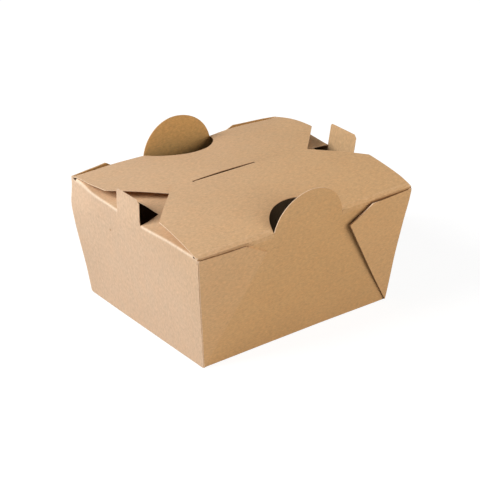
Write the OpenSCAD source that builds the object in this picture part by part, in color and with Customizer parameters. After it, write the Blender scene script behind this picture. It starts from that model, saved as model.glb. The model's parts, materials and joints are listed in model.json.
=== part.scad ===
// Takeaway box folded from one sheet of kraft board: a flared tub with webbed corners,
// two end flaps, and two long flaps that dome up and lock with a tongue in a slit.
// X runs along the box, Y across it and Z up. The origin is the middle of the underside.

/* [Tub] */
// Length of the floor, outside
floor_length = 114; // [100:1:130]
// Width of the floor, outside
floor_width = 92; // [84:1:104]
// Height of the top creases above the ground
wall_height = 63; // [50:1:80]
// How far each end wall leans out from floor to crease
end_flare = 8.5; // [4:0.5:12]
// How far each long wall leans out from floor to crease
side_flare = 6; // [3:0.5:9]
// Thickness of the board
board = 0.4; // [0.3:0.05:0.5]
// Radius of a fold, to the middle of the board
crease_radius = 0.6; // [0.4:0.1:0.9]

/* [Long flaps] */
// Level run of the curved part of a long flap, from its crease inwards
dome_run = 44; // [38:1:46]
// Rise of the front flap from its crease to its flat middle
dome_rise = 7; // [6.5:0.5:9]
// Length of a long flap's side edge, from the crease to the chamfer
flap_side = 30; // [26:1:34]
// How much shorter the flap is at the chamfer than at the crease, each end
flap_taper = 1; // [0:0.25:2]
// How far the front flap's edge lies past the middle of the box
front_reach = 2.4; // [1:0.2:4]
// How far its left shoulder reaches past the middle
shoulder_reach = 5.2; // [3:0.2:7]
// How far the back flap runs on past the middle, under the front one
back_reach = 5; // [3:0.5:8]

/* [Tongue] */
// Left end of the tongue
tongue_left = -25.4; // [-30:0.2:-15]
// Right end of the tongue
tongue_right = 10.8; // [5:0.2:20]
// Place of the tongue's outer face across the box, at its fold
tongue_face = 3.3; // [3.3:0.1:4]
// Depth of the tongue below the top of its fold
tongue_depth = 9.5; // [7:0.5:11]
// Slant of the tongue's two short sides, at its tip
tongue_slant = 3; // [0:0.5:4]

/* [Finger tabs] */
// Radius of the round tabs on the long walls
finger_radius = 21.1; // [18:0.1:24]
// Depth of their centre below the crease
finger_drop = 4.1; // [2:0.1:6]
// Width of the small tabs on the end walls
end_tab_width = 19.2; // [14:0.2:24]
// Height of the small tabs above the crease
end_tab_height = 11.3; // [8:0.1:13]
// Size of the cut across their front top corners
end_tab_cut = 1.5; // [1:0.25:3]
// Size of the cut across their back top corners
end_tab_nick = 0.7; // [0.4:0.1:2]

/* [End flaps] */
// Length of an end flap from its crease
end_flap_length = 32.5; // [26:0.5:34]
// Slope of an end flap, rising inwards
end_flap_tilt = 6; // [4:1:10]
// Gap between an end flap's corner and the long crease
end_flap_inset = 3; // [2.5:0.5:6]

/* [Webs] */
// Length of the fold that halves a web, from the floor corner up
web_fold = 62.5; // [58:0.5:65]
// Angle between that fold and the corner edge
web_angle = 38.5; // [36:0.5:40]
// How far the front webs' top edges lie below the crease at the corner
front_web_drop = 1.2; // [1.2:0.1:3]
// How far the back webs' top edges lie below the crease at the corner
back_web_drop = 0.2; // [0:0.1:2]
// How much lower the front left web's top edge is at its far end
front_left_dip = 0.8; // [0:0.1:2]
// How far the front right web stands off its wall, in degrees
front_right_swing = 3; // [0:0.5:4]
// How far the back left web stands off its wall, in degrees
back_left_swing = 11; // [0:1:20]
// How far the back right web stands off its wall, in degrees
back_right_swing = 17; // [0:1:20]

/* [Clearances] */
// Gap between the front flap's root and the edge of the wall below it
root_gap = 0.2; // [0.15:0.05:0.3]
// Gap round the front finger tab, in the flap's hole
tab_gap = 0.3; // [0.2:0.05:0.5]
// Gap between the front flap and the back flap below it
lap_gap = 0.3; // [0.25:0.05:0.5]
// Gap each side of the tongue in its slit
slit_gap = 0.6; // [0.4:0.1:0.8]
// How much longer the slit is than the tongue, each end
slit_ease = 1; // [0.4:0.1:1.4]

/* [Hidden] */
$fn = 96;
kraft = [0.80, 0.62, 0.42];
half = board / 2;
fold_out = crease_radius + half;
end_lean = atan(end_flare / wall_height);
side_lean = atan(side_flare / wall_height);
top_length = floor_length + 2 * end_flare;
top_width = floor_width + 2 * side_flare;
crease_steps = 5;
dome_steps = 14;
far = 3 * top_length;
// A tab or web starts this far inside the faces of the wall that it grows from
sink = 0.02;

// The front flap turns about the middle of the board at the crease
rim = wall_height - fold_out;
hinge_y = -top_width / 2 + half;
hinge_z = rim + root_gap + half;
dome_slope = 2 * atan(dome_rise / dome_run);
dome_radius = dome_run / sin(dome_slope);
roof_z = hinge_z + dome_rise;
// The back flap's flat middle lies one board and a gap below the front flap's
back_rise = roof_z - board - lap_gap - rim - crease_radius;
back_slope = 2 * atan(back_rise / dome_run);
back_radius = dome_run / sin(back_slope);
tuck_y = tongue_face - fold_out;
tuck_z = roof_z - crease_radius;
tuck_turn = norm([tuck_y - hinge_y, tuck_z - hinge_z]) + crease_radius;
tuck_angle = atan2(tuck_z - hinge_z, tuck_y - hinge_y);
tip_angle = asin((dome_rise - tongue_depth) / tuck_turn);
hinge = [hinge_y, hinge_z];
slit_level = rim + crease_radius + back_rise;
slit_y = hinge_y + sqrt(pow(tuck_turn, 2) - pow(slit_level - hinge_z, 2));
crown = rim + finger_radius;
// Pieces that join run this far into each other
lap = 1;
// Steps of a rounded edge, and the share of its flap's slope at which a round hole is cut
edge_steps = 8;
hole_tilt = 0.8;
web_slant = wall_height / cos(side_lean);
web_lean = atan(end_flare / web_slant);

// A bend is [centre, radius, first angle, last angle, steps], where each angle says which
// way the board's outer side faces. side_of gives that side's points, or the inner side's
function side_of(bends, h) = [for (b = bends) for (i = [0:b[4]])
    let (a = b[2] + (b[3] - b[2]) * i / max(b[4], 1)) b[0] + (b[1] + h) * [cos(a), sin(a)]];
function backwards(list) = [for (i = [len(list) - 1:-1:0]) list[i]];
// An edge of the board is a bend with no radius and no sweep
function edge_at(p, a) = [p, 0, a, a, 0];
// Middle of the bend between the floor and a wall, and between a wall and its flap
function floor_bend(half_floor, lean) =
    [half_floor + fold_out * tan(lean) - fold_out / cos(lean), fold_out];
function top_bend(half_floor, lean) =
    [half_floor + rim * tan(lean) - fold_out / cos(lean), rim];
// A point on the middle of a wall's board at height z
function wall_point(half_floor, lean, z) = [half_floor + z * tan(lean) - half / cos(lean), z];
function flipped(p) = [-p[0], p[1]];
function mirrored(outline) = concat(outline, [for (p = backwards(outline)) flipped(p)]);

// Section of a folded board h thick to each side of its middle, given by its bends in
// order, with its first edge rounded off in so many steps
module folded(bends, h = half, rounds = 1) {
    first = bends[0];
    polygon(concat(
        side_of(bends, h),
        backwards(side_of(bends, -h)),
        [for (i = [1:1:rounds - 1]) let (a = first[2] + 180 - 180 * i / rounds)
            first[0] + h * [cos(a), sin(a)]]
    ));
}

// Stretches a section drawn in Y and Z along the box, from x = a to x = b
module along_x(a, b) {
    translate([a, 0, 0]) rotate([90, 0, 90]) linear_extrude(b - a) children();
}

// Stretches a section drawn in X and Z across the box, from y = a to y = b
module along_y(a, b) {
    translate([0, b, 0]) rotate([90, 0, 0]) linear_extrude(b - a) children();
}

// Long section: front wall with its round tab, floor, back wall and the domed back flap
module long_section() {
    low = floor_bend(floor_width / 2, side_lean);
    top = top_bend(floor_width / 2, side_lean);
    turn = 90 - back_slope;
    dome = top + (crease_radius - back_radius) * [cos(turn), sin(turn)];
    folded([
        edge_at(flipped(wall_point(floor_width / 2, side_lean, crown)), 180 + side_lean),
        [flipped(low), crease_radius, 180 + side_lean, 270, crease_steps],
        [low, crease_radius, 270, 360 - side_lean, crease_steps],
        [top, crease_radius, 360 - side_lean, 360 + turn, crease_steps],
        [dome, back_radius, 360 + turn, 450, dome_steps],
        edge_at([-back_reach, dome[1] + back_radius], 450)
    ]);
}

// End section: a strip of floor, an end wall and its flap
module end_section() {
    low = floor_bend(floor_length / 2, end_lean);
    top = top_bend(floor_length / 2, end_lean);
    turn = 90 - end_flap_tilt;
    root = top + crease_radius * [cos(turn), sin(turn)];
    folded([
        edge_at([low[0] - lap, half], 270),
        [low, crease_radius, 270, 360 - end_lean, crease_steps],
        [top, crease_radius, 360 - end_lean, 360 + turn, crease_steps],
        edge_at(root + end_flap_length * [-cos(end_flap_tilt), sin(end_flap_tilt)], 360 + turn)
    ]);
}

// Section of a tab that carries a wall's board straight up past its crease
module tab_section(half_floor, lean, top) {
    folded([for (z = [rim - lap, top]) edge_at(wall_point(half_floor, lean, z), -lean)],
        half - sink);
}

// Outline of a wall seen square on, up to a height and w wider than the floor each side,
// with its lower corners cut where the floor bends up
module wall_outline(half_floor, lean, w, top) {
    low = floor_bend(half_floor, lean);
    polygon(mirrored([
        [low[0] + w, 0],
        [half_floor + low[1] * tan(lean) + w, low[1]],
        [half_floor + top * tan(lean) + w, top]
    ]));
}

// Corners of a long flap whose crease is at the front, from its right end to its edge
function flap_corners(reach) = [
    [top_length / 2, -top_width / 2 - fold_out],
    [top_length / 2 - flap_taper, -top_width / 2 + flap_side],
    [top_length / 2 - flap_taper - (top_width / 2 - flap_side + reach), reach]
];

// Round tab and matching hole, drawn about the middle of the crease
module finger_outline(gap) {
    translate([0, -finger_drop]) circle(finger_radius + gap);
}

// Small tab, drawn about the middle of the end crease, with its back edge on the right
module end_tab_outline() {
    w = end_tab_width / 2;
    polygon([
        [-w, -fold_out - half],
        [w, -fold_out - half],
        [w, end_tab_height - end_tab_nick],
        [w - end_tab_nick, end_tab_height],
        [end_tab_cut - w, end_tab_height],
        [-w, end_tab_height - end_tab_cut]
    ]);
}

// Hole that a round tab leaves in its flap, square to the flap near the crease
module finger_hole(slope, gap) {
    translate([0, hinge_y, hinge_z])
        rotate([slope * hole_tilt, 0, 0])
            linear_extrude(far, center = true) finger_outline(gap);
}

// Floor, long walls, front round tab and back flap
module long_panels() {
    intersection() {
        along_x(-top_length / 2, top_length / 2) long_section();
        union() {
            along_y(-far, far) wall_outline(floor_length / 2, end_lean, -half, rim);
            translate([0, 0, hinge_z]) along_y(-far, far) finger_outline(0);
            translate([0, 0, rim - sink]) linear_extrude(far)
                mirror([0, 1]) polygon(mirrored(flap_corners(back_reach)));
        }
    }
}

// Right end wall and end flap, the flap tapered to clear the domed flaps above it
module end_panel() {
    w = top_width / 2 - end_flap_inset;
    tip = end_flap_length + fold_out;
    intersection() {
        along_y(-top_width / 2 - board, top_width / 2 + board) end_section();
        union() {
            along_x(0, far) wall_outline(floor_width / 2, side_lean, half, rim);
            translate([top_length / 2, 0, rim - sink]) linear_extrude(far) polygon([
                [board, w], [0, w], [-tip, w - tip], [-tip, tip - w], [0, -w], [board, -w]
            ]);
        }
    }
}

// Small tab of the right end wall
module end_tab() {
    intersection() {
        along_y(-end_tab_width, end_tab_width)
            tab_section(floor_length / 2, end_lean, wall_height + end_tab_height + board);
        translate([0, 0, wall_height]) along_x(0, far) end_tab_outline();
    }
}

// Hole that the small tab leaves in the right end flap and its crease
module end_tab_hole() {
    translate([top_length / 2, 0, wall_height]) rotate([0, end_flap_tilt, 0])
        translate([-end_tab_height, -end_tab_width / 2, -fold_out - half])
            cube([end_tab_height + fold_out + half, end_tab_width, end_tab_height]);
}

// Round tab of the back wall
module back_tab() {
    intersection() {
        along_x(-finger_radius, finger_radius)
            tab_section(floor_width / 2, side_lean, crown);
        translate([0, 0, hinge_z]) along_y(0, far) finger_outline(0);
    }
}

// Hole that the back tab leaves in the back flap and its crease
module back_hole() {
    intersection() {
        mirror([0, 1, 0]) finger_hole(back_slope, 0);
        translate([-far, 0, rim - half]) cube(2 * far);
    }
}

// Places a drawing in the plane of the web folded against the left end of the front wall:
// x runs inwards, y up the corner edge and z outwards, all from the floor corner
module at_web() {
    translate([-floor_length / 2, -floor_width / 2, 0])
        rotate([90 + side_lean, 0, 0]) rotate(web_lean) children();
}

// One web: two plies folded on the line that runs up from the floor corner, standing off
// the wall by an angle. Its top edge starts below the crease and may dip to its far end
module web(swing, drop, dip = 0) {
    edge = norm([web_slant, end_flare]) - drop / cos(web_lean);
    apex = web_fold * [sin(web_angle), cos(web_angle)];
    side = [-cos(web_angle), sin(web_angle)];
    down = [sin(web_lean), cos(web_lean)];
    peak = apex + side * (([0, edge] - apex) * down - dip) / (side * down);
    intersection() {
        at_web() {
            rotate([0, -swing, 0]) translate([0, 0, -sink]) intersection() {
                linear_extrude(2 * board) polygon([
                    [half, fold_out], [half, edge], peak, apex + [lap, 0], [board, fold_out]
                ]);
                rotate(-web_angle) translate([0, web_fold + lap, 0]) rotate([90, 0, 0])
                    linear_extrude(web_fold + 2 * lap) web_plies();
            }
            translate([fold_out - half - sink, fold_out, half]) rotate([-90, 0, 0])
                cylinder(h = edge - fold_out, r = fold_out - half, $fn = 12);
        }
        translate([-far, -far, 0]) cube([2 * far, 2 * far, wall_height - drop]);
    }
}

// Section of a web's two plies across their fold, which is on the right
module web_plies() {
    translate([0, board]) folded([edge_at([0, 0], 90), edge_at([-web_fold, 0], 90)], board, edge_steps);
}

// The sheet: tub, back flap, end flaps, tabs and webs
module carton() {
    color(kraft) {
        difference() {
            union() {
                long_panels();
                end_panel();
                mirror([1, 0, 0]) end_panel();
            }
            back_hole();
            end_tab_hole();
            mirror([1, 0, 0]) end_tab_hole();
            translate([tongue_left - slit_ease, slit_y - half - slit_gap, slit_level - lap])
                cube([tongue_right - tongue_left + 2 * slit_ease, board + 2 * slit_gap, 2 * lap]);
        }
        back_tab();
        end_tab();
        mirror([1, 0, 0]) end_tab();
        web(0, front_web_drop, front_left_dip);
        mirror([1, 0, 0]) web(front_right_swing, front_web_drop);
        mirror([0, 1, 0]) web(back_left_swing, back_web_drop);
        mirror([0, 1, 0]) mirror([1, 0, 0]) web(back_right_swing, back_web_drop);
    }
}

// Section of the front flap: rounded root, dome and flat middle
module front_section() {
    turn = 90 + dome_slope;
    folded([
        edge_at(hinge, turn),
        [hinge - dome_radius * [cos(turn), sin(turn)], dome_radius, turn, 90, dome_steps],
        edge_at([shoulder_reach + lap, roof_z], 90)
    ], half, edge_steps);
}

// Plan of the front flap, whose left shoulder reaches further than its right one
module front_outline() {
    corners = flap_corners(front_reach);
    left = [for (p = backwards(flap_corners(shoulder_reach))) flipped(p)];
    polygon(concat(
        corners,
        [[tongue_left - slit_ease, front_reach]],
        left
    ));
}

// Tongue folded down through the slit, on an arc about the flap's own crease
module tongue() {
    intersection() {
        along_x(tongue_left, tongue_right) folded([
            edge_at([0, roof_z], 90),
            [[tuck_y, tuck_z], crease_radius, 90, tuck_angle, crease_steps],
            [hinge, tuck_turn, tuck_angle, tip_angle, crease_steps]
        ]);
        translate([0, 0, roof_z]) along_y(-far, far) polygon([
            [tongue_left - lap, lap],
            [tongue_left, -tongue_depth / 2],
            [tongue_left + tongue_slant, -tongue_depth - board],
            [tongue_right - tongue_slant, -tongue_depth - board],
            [tongue_right, -tongue_depth / 2],
            [tongue_right + lap, lap]
        ]);
    }
}

// Front long flap, hinged on the crease of the front wall
module front_flap() {
    color(kraft) {
        difference() {
            intersection() {
                along_x(-top_length / 2, top_length / 2) front_section();
                linear_extrude(far) front_outline();
            }
            finger_hole(dome_slope, tab_gap);
        }
        tongue();
    }
}

carton();
front_flap();
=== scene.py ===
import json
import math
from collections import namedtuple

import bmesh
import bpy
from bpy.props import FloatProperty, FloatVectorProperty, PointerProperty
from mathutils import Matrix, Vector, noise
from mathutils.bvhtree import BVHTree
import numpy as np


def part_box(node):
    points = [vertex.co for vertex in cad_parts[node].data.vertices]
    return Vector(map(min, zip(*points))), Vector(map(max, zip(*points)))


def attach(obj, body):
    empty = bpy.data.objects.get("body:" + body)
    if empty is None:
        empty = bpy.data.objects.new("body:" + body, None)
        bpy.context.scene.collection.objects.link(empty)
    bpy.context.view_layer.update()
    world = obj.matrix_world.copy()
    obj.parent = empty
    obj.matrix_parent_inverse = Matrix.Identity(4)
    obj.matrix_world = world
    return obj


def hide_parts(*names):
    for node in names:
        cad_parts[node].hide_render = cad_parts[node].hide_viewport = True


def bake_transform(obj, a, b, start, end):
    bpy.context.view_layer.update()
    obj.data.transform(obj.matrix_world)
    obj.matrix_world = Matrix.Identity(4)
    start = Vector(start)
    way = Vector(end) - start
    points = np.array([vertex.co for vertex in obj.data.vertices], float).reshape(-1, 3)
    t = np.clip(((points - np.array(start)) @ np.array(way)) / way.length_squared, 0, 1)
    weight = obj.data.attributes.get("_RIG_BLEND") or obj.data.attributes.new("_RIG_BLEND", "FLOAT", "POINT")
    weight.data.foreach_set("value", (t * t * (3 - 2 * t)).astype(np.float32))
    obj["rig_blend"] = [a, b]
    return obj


bl_info = {
    "name": "Takeaway Box",
    "version": (1, 0, 0),
    "blender": (4, 5, 0),
    "location": "3D View > Sidebar > Takeaway Box",
    "description": "A folded kraft board takeaway box with an opening front flap, and a small studio",
    "category": "Object",
}

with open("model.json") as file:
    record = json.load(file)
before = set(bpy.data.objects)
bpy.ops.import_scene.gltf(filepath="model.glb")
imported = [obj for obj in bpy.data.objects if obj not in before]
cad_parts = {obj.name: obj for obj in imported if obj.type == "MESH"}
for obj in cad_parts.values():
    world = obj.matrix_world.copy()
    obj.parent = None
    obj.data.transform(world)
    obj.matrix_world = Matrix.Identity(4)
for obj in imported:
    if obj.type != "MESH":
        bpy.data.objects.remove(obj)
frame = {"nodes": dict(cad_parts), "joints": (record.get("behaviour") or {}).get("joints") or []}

MM = 0.001
# Names of the two folded pieces
CARTON = "folded_carton"
FRONT_FLAP = "folded_front_flap"
HINGE = Vector(frame["joints"][0]["pos_m"])
# Middle of the tub, which tells the board's inner side from its outer side
MIDDLE = Vector((0, 0, HINGE.z / 2))
# Top corner of the tub, which the other three mirror
CORNER = Vector((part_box("front_flap")[1].x, -HINGE.y, HINGE.z))
# Points closer than this are one point
MERGE = 0.002 * MM
FLAT_ANGLE = math.radians(0.1)
SHARP_ANGLE = math.radians(40)
BOARD = 0.4 * MM
# Height of the walls, how far the long walls lean out over it, and the dome of the front flap
WALL_HEIGHT = 63 * MM
SIDE_FLARE = 6 * MM
DOME_RUN = 44 * MM
DOME_RISE = 7 * MM
# Lean of the front wall, and rise of the front flap from its crease
WALL_LEAN = math.atan(SIDE_FLARE / WALL_HEIGHT)
FLAP_RISE = 2 * math.atan(DOME_RISE / DOME_RUN)
WALL_UP = Vector((0, -math.sin(WALL_LEAN), math.cos(WALL_LEAN)))
WALL_OUT = Vector((0, -math.cos(WALL_LEAN), -math.sin(WALL_LEAN)))
FLAP_IN = Vector((0, math.cos(FLAP_RISE), math.sin(FLAP_RISE)))
FLAP_OUT = Vector((0, -math.sin(FLAP_RISE), math.cos(FLAP_RISE)))
# A face with no other side within this depth is a cut edge
CUT_DEPTH = 4 * BOARD
# A cut edge with board this close before it lies in shade
NARROW_GAP = 5 * BOARD
# What lies further out than this from the middle of a long wall is on its webs
WEB_START = 0.55 * BOARD
# The foot of the front round tab, where the crease starts
TAB_FOOT = 21.0 * MM
# Half the width of the end tabs, which stand up past the crease
END_TAB = 9.6 * MM
# Beside the tab's foot the front crease has this share of its roundness
FOOT_SHARE = 0.35
# Where the waves fall. Without a seed they would fall elsewhere on each run
WAVE_SEED = 5
# Share of the dents and waves that is left at the hinge, and the distance at which they are whole
HINGE_SHARE = 0.1
HINGE_REACH = 8 * MM
# Fall of the domed back flap from its crease: at its start, its slope and its curve
BACK_START = 0.2 * MM
BACK_SLOPE = 0.022
BACK_CURVE = 278 * MM
# A dark speck in the board of the left end wall, in the flat sheet
SPECK = Vector((-80.0, 19.3)) * MM

# Painted light and shade: tints of the sheet, golden toward its less lit front right and paler toward its
# back left, where the light falls
GOLDEN_SHADE_TINT = (0.975, 0.94, 0.845)
PALE_LIGHT_TINT = (1.045, 1.09, 1.20)
FLECK_TINT = (0.55, 0.45, 0.35)
# Colours where the board is rubbed, partly wear and partly a painted highlight, and where it lies in a
# narrow shade, which is painted shade
RUBBED_AND_HIGHLIT = (0.88, 0.74, 0.58)
SHADE = (0.2, 0.085, 0.03)
BLACK = (0, 0, 0)
WHITE = (1, 1, 1)
# A face whose normal's X squared is more than this belongs to an end wall or its crease
END_SIDE = 0.008

# Lamps of the studio: place, edge length in metres and colour
KEY_PLACE, KEY_SIZE, KEY_COLOUR = (-0.9, 0.3, 0.7), 0.6, WHITE
FILL_PLACE, FILL_SIZE, FILL_COLOUR = (0.45, -1.1, 0.45), 1.0, (1.0, 0.99, 0.97)
SURROUND_COLOUR = (1.0, 0.98, 0.96)
# The floor's own colour, and what the camera sees: a white glow that takes a light shadow
FLOOR_COLOUR = (0.48, 0.46, 0.43)
FLOOR_SHADOW = (0.25, 0.25, 0.25)
FLOOR_GLOW = 0.87
FLOOR_SIZE = 6.0

# The real box is a little out of shape. Each dent moves the board by its shift at its place,
# and less and less up to its reach along X, Y and Z, on the part of the sheet that it names.
# A place counts the top corner as (1, 1, 1) and the middle of the floor as (0, 0, 0);
# shifts and reaches are in millimetres
Dent = namedtuple("Dent", "part place shift reach")
DENTS = (
    # Back left corner: drawn in at the top, bulged out below, with wall and flaps pulled up
    Dent("all", (-1, 1, 1), (1.8, -1.4, 0), (30, 30, 16)),
    Dent("all", (-1, 1, 0.74), (-0.9, 0.8, 0), (35, 35, 36)),
    Dent("back", (-0.97, 1, 1), (0, 0, 1.75), (52, 18, 30)),
    Dent("under", (-0.95, 0.9, 1.02), (0, 0, 1.8), (14, 14, 4)),
    Dent("back web", (-0.63, 1, 1), (2.0, 0, -0.7), (16, 8, 16)),
    # Back crease: a little high, most of all right of the round tab
    Dent("all", (-0.3, 1, 1), (-0.3, 0, 1.1), (40, 30, 36)),
    Dent("back", (0.48, 1, 1), (0, 0, 1.8), (34, 24, 40)),
    Dent("back web", (0.6, 1.14, 1), (0, 0, -1.3), (24, 14, 20)),
    Dent("all", (1, 1, 1), (0, 0, 1.1), (50, 40, 36)),
    # Front right corner, and the bottom corner below it
    Dent("all", (1, -1, 1), (0.6, 0, 0), (24, 24, 20)),
    Dent("all", (0.87, -0.88, 0), (0, -0.9, 0), (45, 30, 30)),
    # Front crease beside the round tab, and the web that droops below it
    Dent("all", (0, -1, 1), (0, 0, 0.8), (40, 30, 24)),
    Dent("front web", (-0.79, -1, 0.98), (0, 0, -0.5), (13, 8, 14)),
    # Left end crease, which sags, and its tab: upright, narrower at its front edge, as its hole
    Dent("all", (-1, -0.12, 1), (0, 0, -1.0), (12, 26, 13)),
    Dent("all", (-1.02, 0, 1.19), (1.3, 0.2, 0), (8, 40, 11)),
    Dent("all", (-1, -0.185, 1.06), (0, 1.5, 0), (9, 9, 16)),
    Dent("all", (-1.02, -0.16, 1.19), (0, 0.8, 0), (8, 10, 9)),
    Dent("all", (-1.02, 0.185, 1.1), (0, 0.7, 0), (8, 8, 14)),
    Dent("all", (-0.83, -0.185, 1.02), (0.3, 2.2, 0.2), (9, 9, 5)),
    Dent("all", (-0.83, 0.06, 1.02), (0.7, 0, 0), (8, 12, 5)),
    # Right end crease behind its tab
    Dent("all", (1, 0.55, 1), (0, 0, 0.8), (16, 24, 16)),
    # Lip of the back flap behind the slit
    Dent("lip", (-0.11, 0.075, 1.1), (0, 0, 0.95), (36, 10, 10)),
)


class BoardSettings(bpy.types.PropertyGroup):
    """Colours and unevenness of the kraft board"""

    outer: FloatVectorProperty(
        name="Outer side", description="Colour of the flaps' outer side",
        subtype="COLOR", size=3, min=0, max=1, default=(0.605, 0.38, 0.205))
    # Painted light and shade: the end walls are tinted paler and cooler as if lit from the left, and the
    # long walls more golden and darker as if less lit
    end_wall_painted_light: FloatVectorProperty(
        name="End wall tint", description="What the end walls' colour is multiplied by",
        subtype="XYZ", size=3, min=0, max=2, default=(0.97, 1.05, 1.21))
    long_wall_painted_shade: FloatVectorProperty(
        name="Long wall tint", description="What the long walls' colour is multiplied by",
        subtype="XYZ", size=3, min=0, max=2, default=(1.035, 0.985, 0.865))
    web_tint: FloatVectorProperty(
        name="Web tint", description="What the front webs' colour is multiplied by as well",
        subtype="XYZ", size=3, min=0, max=2, default=(1.025, 1.04, 1.1))
    # The inner side is darker and more golden: partly its own browner side, partly painted shade
    inner_tint_and_shade: FloatVectorProperty(
        name="Inner tint", description="What the inner side's colour is multiplied by",
        subtype="XYZ", size=3, min=0, max=2, default=(0.93, 0.84, 0.565))
    edge: FloatVectorProperty(
        name="Cut edge", description="Colour of the board's cut edges",
        subtype="COLOR", size=3, min=0, max=1, default=(0.72, 0.52, 0.36))
    mesh_step: FloatProperty(
        name="Mesh step", description="Distance between the cuts that let the board bend",
        unit="LENGTH", min=0.001, max=0.02, default=0.003)
    wave: FloatProperty(
        name="Wave", description="How far the board waves out of its plane",
        unit="LENGTH", min=0, max=0.001, default=0.00015)
    wave_length: FloatProperty(
        name="Wave length", description="Distance between the board's waves",
        unit="LENGTH", min=0.01, max=0.1, default=0.03)
    dents: FloatProperty(
        name="Dents", description="How far the box is out of shape, 1 as in the photograph",
        subtype="FACTOR", min=0, max=1.5, default=1.0)
    crease_radius: FloatProperty(
        name="Front crease", description="Radius of the soft fold between front wall and flap",
        unit="LENGTH", min=0, max=0.004, default=0.003)
    web_bevel: FloatProperty(
        name="Web bevel", description="How far the front webs' top edges slope down to the wall",
        unit="LENGTH", min=0, max=0.002, default=0.0014)


class StudioSettings(bpy.types.PropertyGroup):
    """Camera and light"""

    azimuth: FloatProperty(
        name="Azimuth", description="Turn of the camera about the box, 0 looking along +Y",
        subtype="ANGLE", default=math.radians(-38.82))
    elevation: FloatProperty(
        name="Elevation", description="Height of the camera above the horizon",
        subtype="ANGLE", default=math.radians(27.01))
    roll: FloatProperty(
        name="Roll", description="Turn of the camera about its own line of sight",
        subtype="ANGLE", default=math.radians(1.2))
    distance: FloatProperty(
        name="Distance", description="Distance from the camera to the point that it looks at",
        unit="LENGTH", default=0.8249)
    aim: FloatVectorProperty(
        name="Aim", description="Point that the camera looks at",
        subtype="XYZ", unit="LENGTH", size=3, default=(0.00042, -0.00037, 0.03145))
    lens: FloatProperty(
        name="Lens", description="Focal length in millimetres on a 36 mm sensor",
        min=20, max=300, default=124.5)
    key: FloatProperty(
        name="Key light", description="Power of the soft light on the left, in watts",
        min=0, max=100, default=15.5)
    fill: FloatProperty(
        name="Fill light", description="Power of the soft light on the right, in watts",
        min=0, max=100, default=10.5)
    surround: FloatProperty(
        name="Surround", description="Strength of the even light from all round",
        min=0, max=3, default=0.145)


class Value:
    """One output of a shader node. Python's operators on it add Math nodes."""

    def __init__(self, shader, socket):
        self.shader = shader
        self.socket = socket

    def _with(self, operation, first, second):
        return self.shader.math(operation, first, second)

    def __add__(self, other):
        return self._with("ADD", self, other)

    def __sub__(self, other):
        return self._with("SUBTRACT", self, other)

    def __mul__(self, other):
        return self._with("MULTIPLY", self, other)

    def __radd__(self, other):
        return self._with("ADD", other, self)

    def __rsub__(self, other):
        return self._with("SUBTRACT", other, self)

    def __rmul__(self, other):
        return self._with("MULTIPLY", other, self)

    def __gt__(self, other):
        return self._with("GREATER_THAN", self, other)

    def __abs__(self):
        return self._with("ABSOLUTE", self, 0.0)


class Shader:
    """The nodes of one material or world."""

    def __init__(self, owner):
        owner.use_nodes = True
        self.tree = owner.node_tree
        self.tree.nodes.clear()

    def node(self, kind, settings=None, inputs=None):
        """Adds a node: its settings first, then the values or links of its sockets."""
        node = self.tree.nodes.new(kind)
        for name, setting in (settings or {}).items():
            setattr(node, name, setting)
        sockets = {socket.identifier: socket for socket in node.inputs}
        for name, value in (inputs or {}).items():
            if isinstance(value, Value):
                self.tree.links.new(value.socket, sockets[name])
            else:
                sockets[name].default_value = value
        return node

    def value(self, node, output=0):
        return Value(self, node.outputs[output])

    def math(self, operation, first, second=0.0):
        inputs = {"Value": first, "Value_001": second}
        return self.value(self.node("ShaderNodeMath", {"operation": operation}, inputs))

    def scaled(self, vector, factors):
        inputs = {"Vector": vector, "Vector_001": factors}
        return self.value(self.node("ShaderNodeVectorMath", {"operation": "MULTIPLY"}, inputs))

    def noise(self, vector, size, detail=2.0, roughness=0.5):
        """Noise from 0 to 1 with features of about this size in metres."""
        inputs = {"Vector": vector, "Scale": 1 / size, "Detail": detail, "Roughness": roughness}
        return self.value(self.node("ShaderNodeTexNoise", {}, inputs))

    def mix(self, factor, first, second, blend="MIX"):
        settings = {"data_type": "RGBA", "blend_type": blend}
        inputs = {"Factor_Float": factor, "A_Color": first, "B_Color": second}
        return self.value(self.node("ShaderNodeMix", settings, inputs), "Result")

    def tinted(self, colour, tint):
        return self.mix(1.0, colour, rgba(tint), "MULTIPLY")

    def ramp(self, value, low, high):
        """Rises smoothly from 0 at low to 1 at high."""
        inputs = {"Value": value, "From Min": low, "From Max": high}
        settings = {"interpolation_type": "SMOOTHSTEP"}
        return self.value(self.node("ShaderNodeMapRange", settings, inputs))

    def attribute(self, name, output="Fac"):
        return self.value(self.node("ShaderNodeAttribute", {"attribute_name": name}), output)

    def channels(self, vector):
        node = self.node("ShaderNodeSeparateXYZ", {}, {"Vector": vector})
        return [self.value(node, axis) for axis in "XYZ"]


def rgba(colour):
    return (*colour, 1.0)


def product(first, second):
    return [a * b for a, b in zip(first, second)]


def board_noises(shader, sheet):
    """The board's clouds, mottling, blushes and fibres along the grain, each from 0 to 1."""
    clouds = shader.noise(sheet, 28 * MM, 2.0)
    mottle = shader.noise(shader.scaled(sheet, (0.75, 1.0, 1.0)), 1.7 * MM, 3.0, 0.6)
    blush = shader.noise(shader.scaled(sheet, (0.7, 1.0, 1.0)), 6 * MM, 2.0, 0.5)
    fibres = shader.noise(shader.scaled(sheet, (0.35, 1.0, 1.0)), 0.6 * MM, 3.0, 0.65)
    return clouds, mottle, blush, fibres


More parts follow.
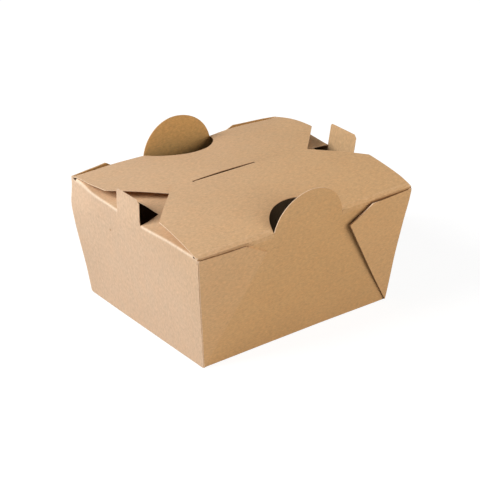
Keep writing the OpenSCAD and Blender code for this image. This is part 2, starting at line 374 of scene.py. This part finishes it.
def sheet_colour(shader, sheet, mottle):
    """Colour of the sheet before its grain: by wall and side with painted light and shade, its worn places
    with painted highlights, and painted shade deep in the box and in narrow gaps.
    """
    board = bpy.context.scene.takeaway_board
    facing = shader.channels(shader.attribute("facing", "Vector"))
    inner = shader.attribute("inner")
    across, along, _ = shader.channels(sheet)
    height = shader.channels(shader.value(shader.node("ShaderNodeTexCoord"), "Object"))[2]

    # Painted light and shade across the sheet: paler toward its back left, where the light falls, and golden
    # toward its front right
    pale = shader.ramp(along - across, -100 * MM, 100 * MM)
    outer = shader.mix(pale, rgba(product(board.outer, GOLDEN_SHADE_TINT)), rgba(product(board.outer, PALE_LIGHT_TINT)))
    # Painted light and shade by wall: end walls paler where the light falls, long walls more golden in shade
    colour = shader.mix(facing[0], outer, shader.tinted(outer, board.end_wall_painted_light))
    colour = shader.mix(facing[1], colour, shader.tinted(outer, board.long_wall_painted_shade))
    colour = shader.mix(shader.attribute("web"), colour, shader.tinted(colour, board.web_tint))
    # Inner side darker and more golden, partly its own side and partly painted shade, less on faces turned
    # to the end walls, which the light reaches
    inside = inner * (1 - facing[0] * 0.7)
    colour = shader.mix(inside, colour, shader.tinted(colour, board.inner_tint_and_shade))

    # Painted shade: deep in the box the board is darkened toward black
    painted_deep_shade = inner * (1 - shader.ramp(height, 53 * MM, 63 * MM))
    colour = shader.mix(painted_deep_shade * 0.75, colour, rgba(BLACK))
    # The folds are a little worn and lightened, partly wear and partly a painted highlight, and the end
    # walls' creases beside the tabs are rubbed pale, partly wear and partly a painted highlight
    worn_and_highlit = shader.attribute("fold") * shader.ramp(mottle, 0.3, 0.7)
    colour = shader.mix(worn_and_highlit * 0.12, colour, rgba(board.edge))
    near_crease = 1 - shader.ramp(abs(abs(across) - CORNER.x), 0.2 * MM, 1.4 * MM)
    beside_tab = shader.ramp(abs(along), END_TAB, END_TAB + 1.5 * MM)
    rubbed_and_highlit = near_crease * beside_tab * (facing[0] > END_SIDE) * (1 - inner)
    colour = shader.mix(rubbed_and_highlit * 0.4, colour, rgba(RUBBED_AND_HIGHLIT))
    colour = shader.mix(shader.attribute("cut") * 0.8, colour, rgba(board.edge))
    return shader.mix(shader.attribute("shade") * 0.75, colour, rgba(SHADE))


def flecks(shader, sheet):
    """Small flecks in some of the board's cells, and the dark speck in the left end wall."""
    cells = shader.node(
        "ShaderNodeTexVoronoi", {"feature": "F1"}, {"Vector": sheet, "Scale": 1 / (3.5 * MM)})
    fleck = 1 - shader.ramp(shader.value(cells, "Distance"), 0.03, 0.07)
    chance = shader.channels(shader.value(cells, "Color"))[0]
    speck_node = shader.node("ShaderNodeVectorMath", {"operation": "DISTANCE"}, {
        "Vector": sheet, "Vector_001": (SPECK.x, SPECK.y, 0)})
    speck = 1 - shader.ramp(shader.value(speck_node, "Value"), 0.3 * MM, 0.9 * MM)
    return shader.math("MAXIMUM", fleck * (chance > 0.72), speck * 2)


def kraft_material():
    """Uncoated kraft board: clouds, mottling, fibres along the grain, flecks and pale edges."""
    found = bpy.data.materials.get("kraft_paperboard")
    if found:
        return found
    material = bpy.data.materials.new("kraft_paperboard")
    shader = Shader(material)
    sheet = shader.value(shader.node("ShaderNodeUVMap", {"uv_map": "sheet"}))
    clouds, mottle, blush, fibres = board_noises(shader, sheet)
    mottling = 0.38 + shader.attribute("inner") * 0.15
    tone = 1 + (clouds - 0.5) * 0.12 + (mottle - 0.5) * mottling + (fibres - 0.5) * 0.55
    grain = shader.node("ShaderNodeCombineXYZ", {}, {
        "X": tone * (1 + (blush - 0.5) * 0.07), "Y": tone, "Z": tone * (1 - (blush - 0.5) * 0.06)})
    colour = sheet_colour(shader, sheet, mottle)
    colour = shader.mix(1.0, colour, shader.value(grain), "MULTIPLY")
    dark = product(bpy.context.scene.takeaway_board.outer, FLECK_TINT)
    colour = shader.mix(flecks(shader, sheet) * 0.35, colour, rgba(dark))
    bump = shader.node("ShaderNodeBump", {}, {
        "Strength": 0.35, "Distance": 0.05 * MM, "Height": fibres * 0.6 + mottle * 0.4})
    surface = shader.node("ShaderNodeBsdfPrincipled", {}, {
        "Base Color": colour,
        "Roughness": 0.62 + mottle * 0.16,
        "Normal": shader.value(bump),
        "IOR": 1.45,
        "Specular IOR Level": 0.35,
    })
    shader.node("ShaderNodeOutputMaterial", {}, {"Surface": shader.value(surface)})
    return material


def board_copy(node):
    """Bmesh of a copy of a CAD node's board, with its loose triangles merged."""
    bm = bmesh.new()
    bm.from_mesh(frame["nodes"][node].data)
    bmesh.ops.remove_doubles(bm, verts=bm.verts[:], dist=MERGE)
    bmesh.ops.dissolve_degenerate(bm, edges=bm.edges[:], dist=MERGE)
    bm.normal_update()
    return bm


def mark_faces(bm):
    """Marks each face: inside the box, cut edge, cut edge in a narrow gap, on a front web."""
    inner = bm.faces.layers.float.new("inner")
    cut = bm.faces.layers.float.new("cut")
    shade = bm.faces.layers.float.new("shade")
    web = bm.faces.layers.float.new("web")
    tree = BVHTree.FromBMesh(bm)
    for face in bm.faces:
        centre = face.calc_center_median()
        face[inner] = float(face.normal.dot(centre - MIDDLE) < 0)
        behind = tree.ray_cast(centre - face.normal * MERGE, -face.normal)[3]
        face[cut] = float(behind is None or behind > CUT_DEPTH)
        ahead = tree.ray_cast(centre + face.normal * MERGE, face.normal, NARROW_GAP)[3]
        face[shade] = float(face[cut] and abs(face.normal.x) < 0.9 and ahead is not None)
        face[web] = float(not face[cut] and (centre - HINGE).dot(WALL_OUT) > WEB_START)


def mark_folds(bm):
    """Marks the narrow faces round each fold, once the flat faces are whole."""
    cut = bm.faces.layers.float["cut"]
    fold = bm.faces.layers.float.new("fold")
    for face in bm.faces:
        width = 2 * face.calc_area() / face.calc_perimeter()
        face[fold] = float(width < 0.9 * BOARD and not face[cut])


def cut_grid(bm, step):
    """Cuts the faces along planes a step apart, so that the board can bend."""
    for axis in range(3):
        places = [vert.co[axis] for vert in bm.verts]
        low, high = min(places), max(places)
        direction = Vector((0, 0, 0))
        direction[axis] = 1
        count = math.ceil((high - low) / step)
        for i in range(1, count):
            geometry = bm.verts[:] + bm.edges[:] + bm.faces[:]
            place = direction * (low + (high - low) * i / count)
            bmesh.ops.bisect_plane(
                bm, geom=geometry, dist=MERGE, plane_co=place, plane_no=direction)


def cut_crease(bm):
    """Cuts the board beside the front crease finely, so that it can round over."""
    reach = 3 * MM
    steps = 6
    for i in range(steps + 1):
        for along in (WALL_UP * -1, FLAP_IN):
            near = [
                face for face in bm.faces
                if (face.calc_center_median() - HINGE).yz.length < 2 * reach
                or any((vert.co - HINGE).yz.length < reach for vert in face.verts)]
            geometry = [*near, *(e for f in near for e in f.edges), *(v for f in near for v in f.verts)]
            bmesh.ops.bisect_plane(
                bm, geom=list(dict.fromkeys(geometry)), dist=MERGE,
                plane_co=HINGE + along * (reach * i / steps), plane_no=along)


def bevel_webs(bm):
    """Slopes the front webs' top edges down to the wall, so that a groove runs behind them."""
    depth = bpy.context.scene.takeaway_board.web_bevel
    # The level edges slope fully, and those that slant a little by a fifth of it
    level, slanting = 0.95, 0.8
    slanting_depth = depth / 5
    cut = bm.faces.layers.float["cut"]
    drops = {}
    for face in bm.faces:
        beyond = (face.calc_center_median() - HINGE).dot(WALL_OUT)
        if face[cut] and beyond > BOARD and face.normal.z > slanting:
            sides = sorted(face.edges, key=lambda edge: edge.calc_length())[-2:]
            wall_side = min(sides, key=lambda edge: sum(v.co.dot(WALL_OUT) for v in edge.verts))
            drop = depth if face.normal.z > level else slanting_depth
            for vert in wall_side.verts:
                drops[vert] = min(drops.get(vert, drop), drop)
    for vert, drop in drops.items():
        vert.co.z -= drop


def lay_grain(bm):
    """Gives each face its place in the flat sheet, with U along the grain of the board."""
    layer = bm.loops.layers.uv.new("sheet")
    for face in bm.faces:
        x, y, z = (abs(component) for component in face.normal)
        for loop in face.loops:
            place = loop.vert.co
            down = CORNER.z - place.z
            if x > max(y, z):
                loop[layer].uv = (math.copysign(CORNER.x + down, place.x), place.y)
            elif y > z:
                loop[layer].uv = (place.x, math.copysign(CORNER.y + down, place.y))
            else:
                loop[layer].uv = (place.x, place.y)


def smooth(value, low, high):
    """Rises smoothly from 0 at low to 1 at high."""
    share = min(1, max(0, (value - low) / (high - low)))
    return share * share * (3 - 2 * share)


def falloff(offset, reach):
    """1 at the middle, falling smoothly to 0 at the reach."""
    square = sum((a / (b * MM)) ** 2 for a, b in zip(offset, reach))
    return max(0, 1 - square) ** 2


def round_over(place, radius, start):
    """How far a point near the front crease moves to make the fold a soft round one.

    The round fold starts this far from the middle of the box, on both sides of the round tab.
    """
    turn = math.pi / 2 - FLAP_RISE + WALL_LEAN
    reach = radius * math.tan(turn / 2)
    offset = place - HINGE
    distance = offset.yz.length
    side = abs(place.x)
    if distance >= reach or offset.dot(WALL_OUT) > WEB_START or side < start:
        return Vector((0, 0, 0))
    share = FOOT_SHARE + (1 - FOOT_SHARE) * smooth(side, TAB_FOOT, TAB_FOOT + 3 * MM)
    share *= smooth(CORNER.x - side, 0, 4 * MM)
    depth = radius * (1 / math.cos(turn / 2) - 1) * (1 - distance / reach) ** 2
    return -(WALL_OUT + FLAP_OUT).normalized() * depth * share


def parts_at(place, name):
    """How far a point belongs to each part of the sheet that has dents of its own."""
    front = place - HINGE
    back = Vector((place.x, -place.y, place.z)) - HINGE
    dome = BACK_START - BACK_SLOPE * back.y - back.y ** 2 / BACK_CURVE
    # Height above the back flap
    height = back.dot(FLAP_OUT) - dome
    behind = max(
        smooth(height, -2.6 * BOARD, -1.2 * BOARD),
        smooth(back.dot(WALL_OUT), -1.5 * BOARD, -0.75 * BOARD))
    return {
        "all": 1,
        "back": behind,
        "under": 1 - behind,
        "back web": back.dot(WALL_OUT) > WEB_START,
        "front web": front.dot(WALL_OUT) > WEB_START,
        "lip": (name == CARTON) * smooth(place.y, 2.4 * MM, 3.8 * MM),
    }


def bend_board(bm, name):
    """Moves the points a little, as real board is never quite flat."""
    board = bpy.context.scene.takeaway_board
    noise.seed_set(WAVE_SEED)
    # The round tab rises straight from the wall, but all of the front flap's crease is round
    round_start = 0 if name == FRONT_FLAP else TAB_FOOT
    for vert in bm.verts:
        place = vert.co.copy()
        shift = noise.noise_vector(place / board.wave_length) * board.wave
        parts = parts_at(place, name)
        for dent in DENTS:
            middle = Vector(a * b for a, b in zip(dent.place, CORNER))
            amount = falloff(place - middle, dent.reach) * parts[dent.part] * board.dents
            shift += Vector(dent.shift) * MM * amount
        # The flap and the wall keep their places at the hinge, where the open flap lies on the wall
        away = min(1, (place - HINGE).yz.length / HINGE_REACH)
        shift *= HINGE_SHARE + (1 - HINGE_SHARE) * away
        vert.co = place + shift + round_over(place, board.crease_radius, round_start)
        vert.co.z = max(vert.co.z, min(place.z, 0))
    bm.normal_update()
    facing = bm.faces.layers.float_vector.new("facing")
    for face in bm.faces:
        face[facing] = [component ** 2 for component in face.normal]


def finish_board(bm, name):
    """Bends a mesh of folded board and makes it a piece."""
    cut = bm.faces.layers.float["cut"]
    for edge in bm.edges:
        sides = edge.link_faces
        edge.smooth = (
            len(sides) == 2
            and sides[0][cut] == sides[1][cut]
            and edge.calc_face_angle(0) < SHARP_ANGLE)
    for face in bm.faces:
        face.smooth = True
        face.material_index = 0
    bend_board(bm, name)
    mesh = bpy.data.meshes.new(name)
    bm.to_mesh(mesh)
    bm.free()
    if "custom_normal" in mesh.attributes:
        mesh.attributes.remove(mesh.attributes["custom_normal"])
    mesh.materials.append(kraft_material())
    piece = bpy.data.objects.new(name, mesh)
    bpy.context.collection.objects.link(piece)
    weighted = piece.modifiers.new("Even shading", "WEIGHTED_NORMAL")
    weighted.keep_sharp = True
    return piece


def fold_board(name, node):
    """Makes the piece that stands for a CAD node, from a copy of its mesh."""
    bm = board_copy(node)
    mark_faces(bm)
    bmesh.ops.dissolve_limit(bm, angle_limit=FLAT_ANGLE, verts=bm.verts[:], edges=bm.edges[:])
    mark_folds(bm)
    bevel_webs(bm)
    cut_grid(bm, bpy.context.scene.takeaway_board.mesh_step)
    cut_crease(bm)
    lay_grain(bm)
    return finish_board(bm, name)


def strip_section():
    """Section of the board across the front crease: outer side from wall to flap, then inner."""
    half = BOARD / 2 + 0.02 * MM
    reach = 2.7 * MM
    steps = 9
    miter = (WALL_OUT + FLAP_OUT) / (1 + WALL_OUT.dot(FLAP_OUT))
    outer, inner = [], []
    for i in range(-steps, steps + 1):
        place = HINGE + (FLAP_IN if i > 0 else WALL_UP) * (reach * i / steps)
        out = (WALL_OUT, miter, FLAP_OUT)[(i > 0) + (i >= 0)] * half
        outer.append(place + out)
        inner.append(place - out)
    return outer + inner[::-1]


def shade_strip(bm):
    """Marks what a front web covers as shaded, and the strip of wall above its edge a little."""
    shade = bm.faces.layers.float["shade"]
    carton = board_copy("carton")
    webs = BVHTree.FromBMesh(carton)
    carton.free()
    for face in bm.faces:
        start = face.calc_center_median() + face.normal * BOARD / 4
        covered = webs.ray_cast(start, face.normal, 6 * BOARD)[3] is not None
        down = (face.normal * 0.35 - WALL_UP).normalized()
        above_web = (
            face.normal.dot(WALL_OUT) > 0.5
            and webs.ray_cast(start, down, 8 * BOARD)[3] is not None)
        face[shade] = 1.0 if covered else 0.4 * above_web


def crease_strip(side):
    """The board that turns from the front wall into the flap, left (-1) or right (1)."""
    clearance = 0.05 * MM
    column = 1.5 * MM
    near, far = TAB_FOOT + clearance, CORNER.x - clearance
    columns = math.ceil((far - near) / column)
    bm = bmesh.new()
    ring = [bm.verts.new(place + Vector((near * side, 0, 0))) for place in strip_section()]
    edges = [bm.edges.new((a, b)) for a, b in zip(ring, ring[1:] + ring[:1])]
    bmesh.ops.spin(
        bm, geom=ring + edges, cent=HINGE, axis=(1, 0, 0), angle=0, steps=columns,
        dvec=((far - near) / columns * side, 0, 0))
    bmesh.ops.holes_fill(bm, edges=[edge for edge in bm.edges if edge.is_boundary], sides=0)
    bmesh.ops.recalc_face_normals(bm, faces=bm.faces[:])
    mark_faces(bm)
    mark_folds(bm)
    shade_strip(bm)
    lay_grain(bm)
    return bm


class TAKEAWAY_OT_carton(bpy.types.Operator):
    """Makes the folded sheet: tub, webs, tabs, end flaps and back flap"""

    bl_idname = "takeaway.carton"
    bl_label = "Carton"

    def execute(self, context):
        carton = fold_board(CARTON, "carton")
        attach(carton, "carton")
        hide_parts("carton")
        return {"FINISHED"}


class TAKEAWAY_OT_front_flap(bpy.types.Operator):
    """Makes the front flap with its tongue"""

    bl_idname = "takeaway.front_flap"
    bl_label = "Front flap"

    def execute(self, context):
        flap = fold_board(FRONT_FLAP, "front_flap")
        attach(flap, "front_flap")
        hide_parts("front_flap")
        return {"FINISHED"}


class TAKEAWAY_OT_front_crease(bpy.types.Operator):
    """Makes the fold that joins the front wall to its flap, on both sides of the round tab"""

    bl_idname = "takeaway.front_crease"
    bl_label = "Front crease"

    def execute(self, context):
        for name, side in (("front_crease_left", -1), ("front_crease_right", 1)):
            strip = finish_board(crease_strip(side), name)
            bend = 0.35 * MM
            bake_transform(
                strip, "carton", "front_flap",
                start=tuple(HINGE - WALL_UP * bend), end=tuple(HINGE + FLAP_IN * bend))
        return {"FINISHED"}


class TAKEAWAY_OT_studio(bpy.types.Operator):
    """Makes the pale floor, the soft lights and the camera"""

    bl_idname = "takeaway.studio"
    bl_label = "Studio"

    def execute(self, context):
        add_floor()
        add_surround()
        add_lights()
        add_camera()
        context.scene.view_settings.view_transform = "Standard"
        return {"FINISHED"}


def seen_directly(shader):
    """1 where a surface is seen by the camera, or in a reflection or through a clear thing."""
    path = shader.node("ShaderNodeLightPath")
    camera = shader.value(path, "Is Camera Ray")
    glossy = shader.value(path, "Is Glossy Ray")
    clear = shader.value(path, "Is Transmission Ray")
    return shader.math("MAXIMUM", shader.math("MAXIMUM", camera, glossy), clear)


def add_floor():
    """A wide pale floor that looks white and keeps a light shadow of the box."""
    bm = bmesh.new()
    bmesh.ops.create_grid(bm, x_segments=1, y_segments=1, size=FLOOR_SIZE)
    mesh = bpy.data.meshes.new("studio_floor")
    bm.to_mesh(mesh)
    bm.free()
    material = bpy.data.materials.new("studio_floor")
    shader = Shader(material)
    plain = shader.node("ShaderNodeBsdfDiffuse", {}, {"Color": rgba(FLOOR_COLOUR)})
    pale = shader.node("ShaderNodeBsdfDiffuse", {}, {"Color": rgba(FLOOR_SHADOW)})
    white = shader.node("ShaderNodeEmission", {}, {"Color": rgba(WHITE), "Strength": FLOOR_GLOW})
    lit = shader.node("ShaderNodeAddShader", {}, {
        "Shader": shader.value(pale), "Shader_001": shader.value(white)})
    shown = shader.node("ShaderNodeMixShader", {}, {
        "Fac": seen_directly(shader), "Shader": shader.value(plain), "Shader_001": shader.value(lit)})
    shader.node("ShaderNodeOutputMaterial", {}, {"Surface": shader.value(shown)})
    mesh.materials.append(material)
    floor = bpy.data.objects.new("studio_floor", mesh)
    bpy.context.collection.objects.link(floor)


def add_surround():
    """A world that is white to look at and gives an even, slightly warm light."""
    studio = bpy.context.scene.takeaway_studio
    world = bpy.data.worlds.new("studio_surround")
    shader = Shader(world)
    light = shader.node("ShaderNodeBackground", {}, {
        "Color": rgba(SURROUND_COLOUR), "Strength": studio.surround})
    white = shader.node("ShaderNodeBackground", {}, {"Color": rgba(WHITE), "Strength": 1.0})
    shown = shader.node("ShaderNodeMixShader", {}, {
        "Fac": seen_directly(shader), "Shader": shader.value(light), "Shader_001": shader.value(white)})
    shader.node("ShaderNodeOutputWorld", {}, {"Surface": shader.value(shown)})
    bpy.context.scene.world = world


def add_area_light(name, place, size, power, colour):
    """A square soft light at a place, turned to the box."""
    lamp = bpy.data.lights.new(name, "AREA")
    lamp.shape = "SQUARE"
    lamp.size = size
    lamp.energy = power
    lamp.color = colour
    light = bpy.data.objects.new(name, lamp)
    bpy.context.collection.objects.link(light)
    light.location = place
    light.rotation_mode = "QUATERNION"
    light.rotation_quaternion = (MIDDLE - Vector(place)).to_track_quat("-Z", "Y")


def add_lights():
    studio = bpy.context.scene.takeaway_studio
    add_area_light("key", KEY_PLACE, KEY_SIZE, studio.key, KEY_COLOUR)
    add_area_light("fill", FILL_PLACE, FILL_SIZE, studio.fill, FILL_COLOUR)


def add_camera():
    """The camera of the photograph."""
    studio = bpy.context.scene.takeaway_studio
    data = bpy.data.cameras.new("camera")
    data.lens = studio.lens
    data.sensor_width = 36.0
    data.clip_start = 0.05
    data.clip_end = 20.0
    camera = bpy.data.objects.new("camera", data)
    bpy.context.collection.objects.link(camera)
    flat = math.cos(studio.elevation)
    back = Vector((
        math.sin(studio.azimuth) * flat,
        -math.cos(studio.azimuth) * flat,
        math.sin(studio.elevation)))
    level = (-back).to_track_quat("-Z", "Y").to_matrix()
    turned = (level @ Matrix.Rotation(studio.roll, 3, "Z")).to_4x4()
    camera.matrix_world = Matrix.Translation(Vector(studio.aim) + back * studio.distance) @ turned
    bpy.context.scene.camera = camera


class TAKEAWAY_PT_panel(bpy.types.Panel):
    """Lists the box's pieces and settings"""

    bl_idname = "TAKEAWAY_PT_panel"
    bl_label = "Takeaway Box"
    bl_space_type = "VIEW_3D"
    bl_region_type = "UI"
    bl_category = "Takeaway Box"

    def draw(self, context):
        for operator in OPERATORS:
            self.layout.operator(operator.bl_idname)
        for settings in (context.scene.takeaway_board, context.scene.takeaway_studio):
            column = self.layout.column()
            for name in settings.__annotations__:
                column.prop(settings, name)


SETTINGS = (BoardSettings, StudioSettings)
OPERATORS = (
    TAKEAWAY_OT_carton, TAKEAWAY_OT_front_flap, TAKEAWAY_OT_front_crease, TAKEAWAY_OT_studio)
CLASSES = (*SETTINGS, *OPERATORS, TAKEAWAY_PT_panel)


def register():
    for cls in CLASSES:
        bpy.utils.register_class(cls)
    bpy.types.Scene.takeaway_board = PointerProperty(type=BoardSettings)
    bpy.types.Scene.takeaway_studio = PointerProperty(type=StudioSettings)


def unregister():
    del bpy.types.Scene.takeaway_studio
    del bpy.types.Scene.takeaway_board
    for cls in reversed(CLASSES):
        bpy.utils.unregister_class(cls)


def main():
    register()
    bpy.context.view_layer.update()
    bpy.ops.takeaway.carton()
    bpy.ops.takeaway.front_flap()
    bpy.ops.takeaway.front_crease()
    bpy.ops.takeaway.studio()


if __name__ == "__main__":
    main()
